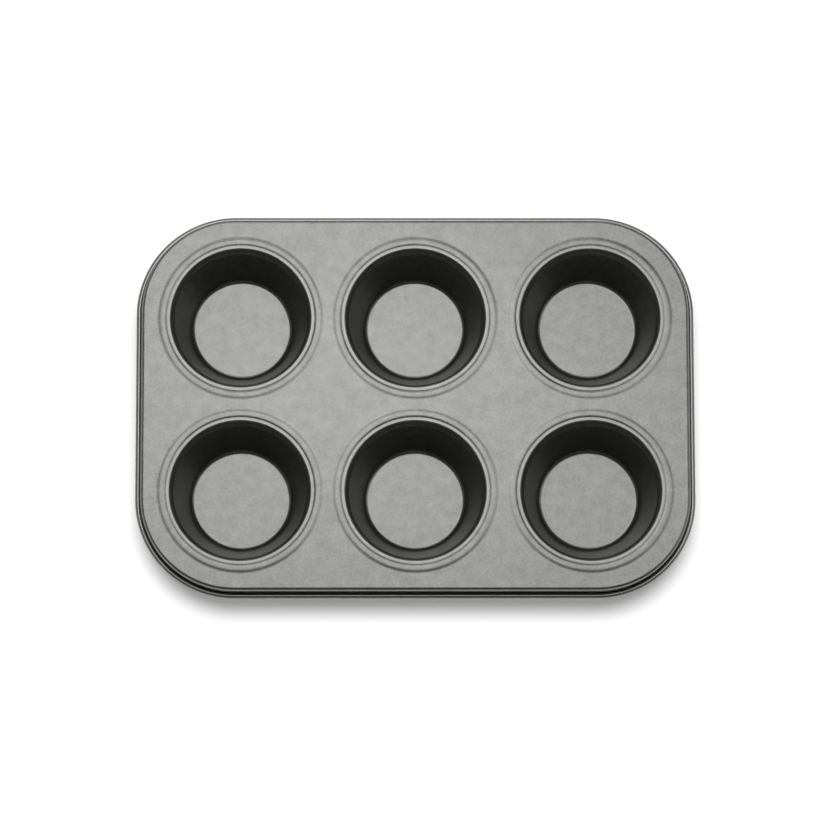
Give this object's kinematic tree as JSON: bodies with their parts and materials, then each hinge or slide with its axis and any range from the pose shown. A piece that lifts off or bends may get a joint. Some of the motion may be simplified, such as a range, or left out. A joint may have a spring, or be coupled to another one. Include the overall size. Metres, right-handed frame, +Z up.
{
  "type": "muffin pan",
  "caption": "Rectangular muffin pan: tapered drawn cups seated in raised rings of a flat frame plate with rounded corners, a short skirt and a rolled wire-stiffened rim.",
  "frame": {"origin": "on the resting plane under the cups' bases, below the middle of the pan", "axes": "+X along the rows of cups, +Y from the front row to the back row, +Z up out of the cups"},
  "size_m": [0.2688, 0.186, 0.033],
  "materials": {
    "frame_coating": "satin metallic-grey non-stick coating on steel sheet",
    "cup_coating": "satin metallic-grey non-stick coating on drawn steel",
    "wire_steel": "drawn bare steel wire"
  },
  "bodies": {
    "root": {"frame_plate": "frame_coating", "cup_1": "cup_coating", "cup_2": "cup_coating", "cup_3": "cup_coating", "cup_4": "cup_coating", "cup_5": "cup_coating", "cup_6": "cup_coating", "rim_wire": "wire_steel"}
  },
  "joints": []
}
